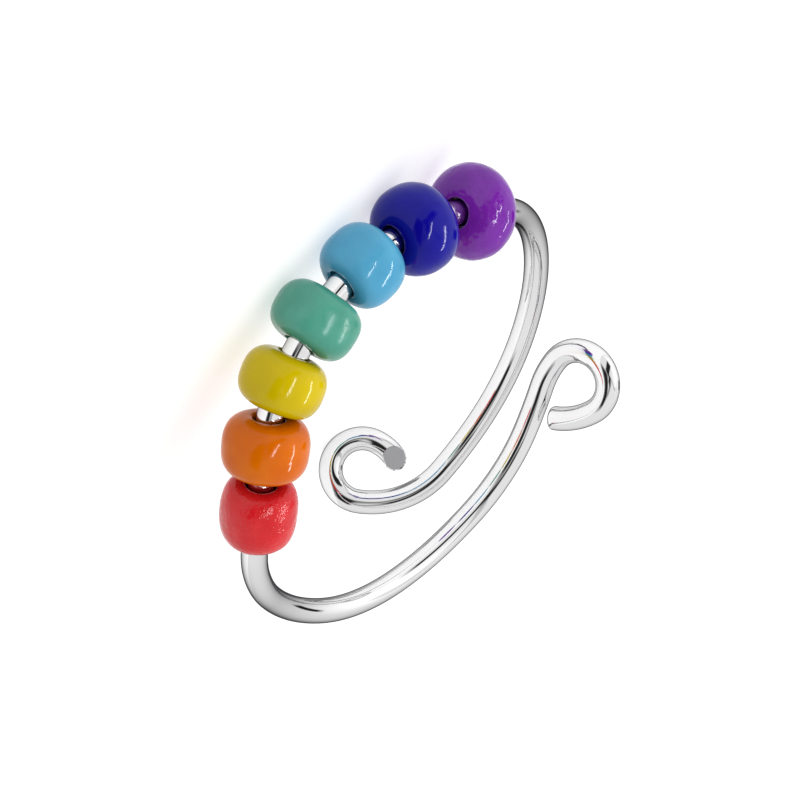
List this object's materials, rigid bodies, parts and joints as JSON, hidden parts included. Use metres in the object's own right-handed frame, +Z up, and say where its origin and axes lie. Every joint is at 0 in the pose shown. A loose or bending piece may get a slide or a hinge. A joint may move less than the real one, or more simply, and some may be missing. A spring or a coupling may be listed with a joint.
{
  "type": "spinner ring",
  "caption": "Open ring of round silver wire with loose glass beads in rainbow colours that spin on the front and a curled scroll at each end, where the ends pass each other.",
  "frame": {"origin": "on the surface that the ring lies on, under the centre of its bounding box", "axes": "+Z up, with the ring lying on its side; the row of beads is on the -Y side and the two scrolls are on the +Y side"},
  "size_m": [0.0202, 0.0212, 0.0095],
  "materials": {
    "silver": "polished silver",
    "glass_red": "opaque glass, satin with a lightly pitted surface",
    "glass_orange": "opaque glass, glossy",
    "glass_yellow": "opaque glass, glossy",
    "glass_green": "opaque glass, satin",
    "glass_light_blue": "opaque glass, glossy",
    "glass_dark_blue": "opaque glass, glossy",
    "glass_purple": "opaque glass, glossy with a pitted surface"
  },
  "bodies": {
    "wire": {"wire_band": "silver"},
    "red_bead": {"bead_red": "glass_red"},
    "orange_bead": {"bead_orange": "glass_orange"},
    "yellow_bead": {"bead_yellow": "glass_yellow"},
    "green_bead": {"bead_green": "glass_green"},
    "light_blue_bead": {"bead_light_blue": "glass_light_blue"},
    "dark_blue_bead": {"bead_dark_blue": "glass_dark_blue"},
    "purple_bead": {"bead_purple": "glass_purple"}
  },
  "joints": [
    {"name": "red_bead_spin", "type": "hinge", "parent": "wire", "child": "red_bead", "pos_m": [0.00739, -0.00531, 0.00403], "axis": [0.6157, 0.7481, 0.2476], "continuous": true},
    {"name": "orange_bead_spin", "type": "hinge", "parent": "wire", "child": "orange_bead", "pos_m": [0.00535, -0.00727, 0.00312], "axis": [0.7426, 0.5533, 0.3773], "continuous": true},
    {"name": "yellow_bead_spin", "type": "hinge", "parent": "wire", "child": "yellow_bead", "pos_m": [0.00308, -0.00844, 0.0023], "axis": [0.9257, 0.3015, 0.2283], "continuous": true},
    {"name": "green_bead_spin", "type": "hinge", "parent": "wire", "child": "green_bead", "pos_m": [0.00046, -0.00888, 0.00181], "axis": [0.9919, 0.0236, 0.1251], "continuous": true},
    {"name": "light_blue_bead_spin", "type": "hinge", "parent": "wire", "child": "light_blue_bead", "pos_m": [-0.00235, -0.00852, 0.00165], "axis": [0.9612, -0.2753, -0.0177], "continuous": true},
    {"name": "dark_blue_bead_spin", "type": "hinge", "parent": "wire", "child": "dark_blue_bead", "pos_m": [-0.00492, -0.00733, 0.00187], "axis": [0.8268, -0.5527, -0.1047], "continuous": true},
    {"name": "purple_bead_spin", "type": "hinge", "parent": "wire", "child": "purple_bead", "pos_m": [-0.00738, -0.00481, 0.00235], "axis": [0.5606, -0.8172, -0.134], "continuous": true}
  ]
}
